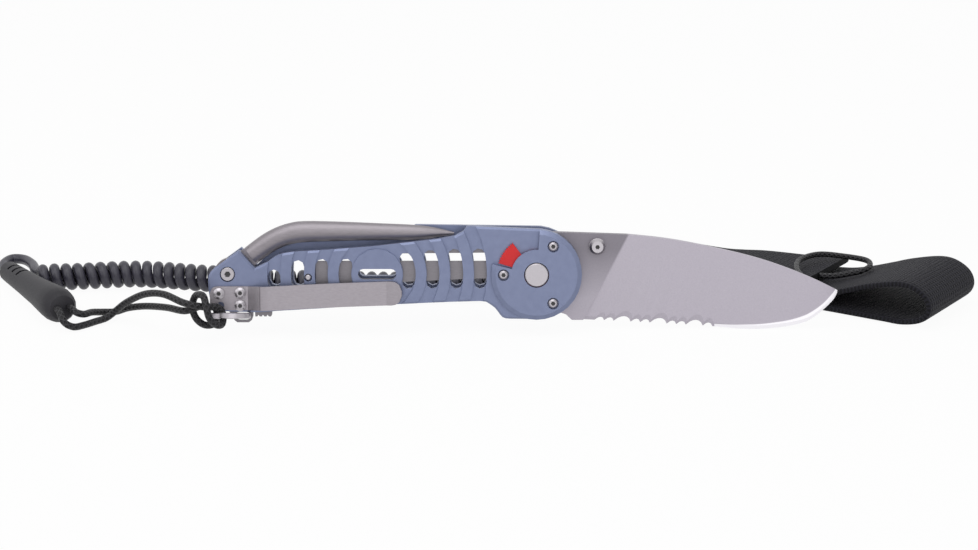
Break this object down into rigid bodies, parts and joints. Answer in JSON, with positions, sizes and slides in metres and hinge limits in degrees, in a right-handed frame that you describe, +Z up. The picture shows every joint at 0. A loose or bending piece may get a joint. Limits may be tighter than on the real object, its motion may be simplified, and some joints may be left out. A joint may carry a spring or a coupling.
{
  "type": "folding rigging knife with lanyard",
  "caption": "Folding rigging knife with part-serrated blade, marlin spike, red safety lever and pocket clip, tied by a coiled lanyard to a folded belt strap.",
  "frame": {"origin": "on the floor under the middle of the knife without its lanyard", "axes": "+X along the handle to the blade's tip, +Y behind the knife, +Z up"},
  "size_m": [0.3478, 0.1136, 0.0365],
  "materials": {
    "anodised": "satin",
    "blade_steel": "stonewashed",
    "steel": "satin",
    "bright_steel": "polished",
    "red": "satin",
    "bronze": "satin",
    "braid": "braided",
    "coil": "satin",
    "rubber": "satin",
    "webbing": "woven"
  },
  "bodies": {
    "handle": {"front_scale": "anodised", "rear_scale": "anodised", "pivot_cover": "anodised", "cover_screw_1": "bright_steel", "cover_screw_2": "bright_steel", "cover_screw_3": "bright_steel", "pivot_pin": "bright_steel", "stop_pin": "steel", "blade_washer_front": "bronze", "blade_washer_rear": "bronze", "lock_liner": "steel", "liner_rivet": "bright_steel", "butt_liner": "steel", "butt_post": "steel", "spike_axle": "steel", "spike_axle_screw": "steel", "spike_washer_front": "bronze", "spike_washer_rear": "bronze", "pocket_clip": "steel", "clip_screw_1": "bright_steel", "clip_screw_2": "bright_steel", "clip_screw_3": "bright_steel", "split_ring": "steel", "lanyard_loop": "braid", "knife_ferrule": "rubber", "coil_cord": "coil", "strap_ferrule": "rubber", "strap_loop": "braid", "belt_strap": "webbing"},
    "blade_body": {"blade": "blade_steel", "thumb_stud_front": "bright_steel", "thumb_stud_rear": "bright_steel"},
    "spike_body": {"marlin_spike": "steel"},
    "lever_body": {"safety_lever": "red"},
    "lock_body": {"lock_leaf": "steel"},
    "spike_lock_body": {"spike_lock_leaf": "steel"}
  },
  "joints": [
    {"name": "blade_fold", "type": "hinge", "parent": "handle", "child": "blade_body", "pos_m": [0.00426, 0.00214, 0.01926], "axis": [0, 0.9848, -0.1736], "range_deg": [0, 170]},
    {"name": "spike_swing", "type": "hinge", "parent": "handle", "child": "spike_body", "pos_m": [-0.10004, 0.00214, 0.01926], "axis": [0, -0.9848, 0.1736], "range_deg": [0, 150]},
    {"name": "safety_turn", "type": "hinge", "parent": "handle", "child": "lever_body", "pos_m": [0.00426, 0.00214, 0.01926], "axis": [0, 0.9848, -0.1736], "range_deg": [0, 36]},
    {"name": "lock_flex", "type": "hinge", "parent": "handle", "child": "lock_body", "pos_m": [-0.07039, -0.00145, 0.0199], "axis": [0, 0.1736, 0.9848], "range_deg": [0, 0.5], "stiffness_Nm_per_rad": 0.05},
    {"name": "spike_lock_flex", "type": "hinge", "parent": "handle", "child": "spike_lock_body", "pos_m": [-0.06174, -0.00145, 0.0199], "axis": [0, -0.1736, -0.9848], "range_deg": [0, 0.8], "stiffness_Nm_per_rad": 0.05}
  ]
}
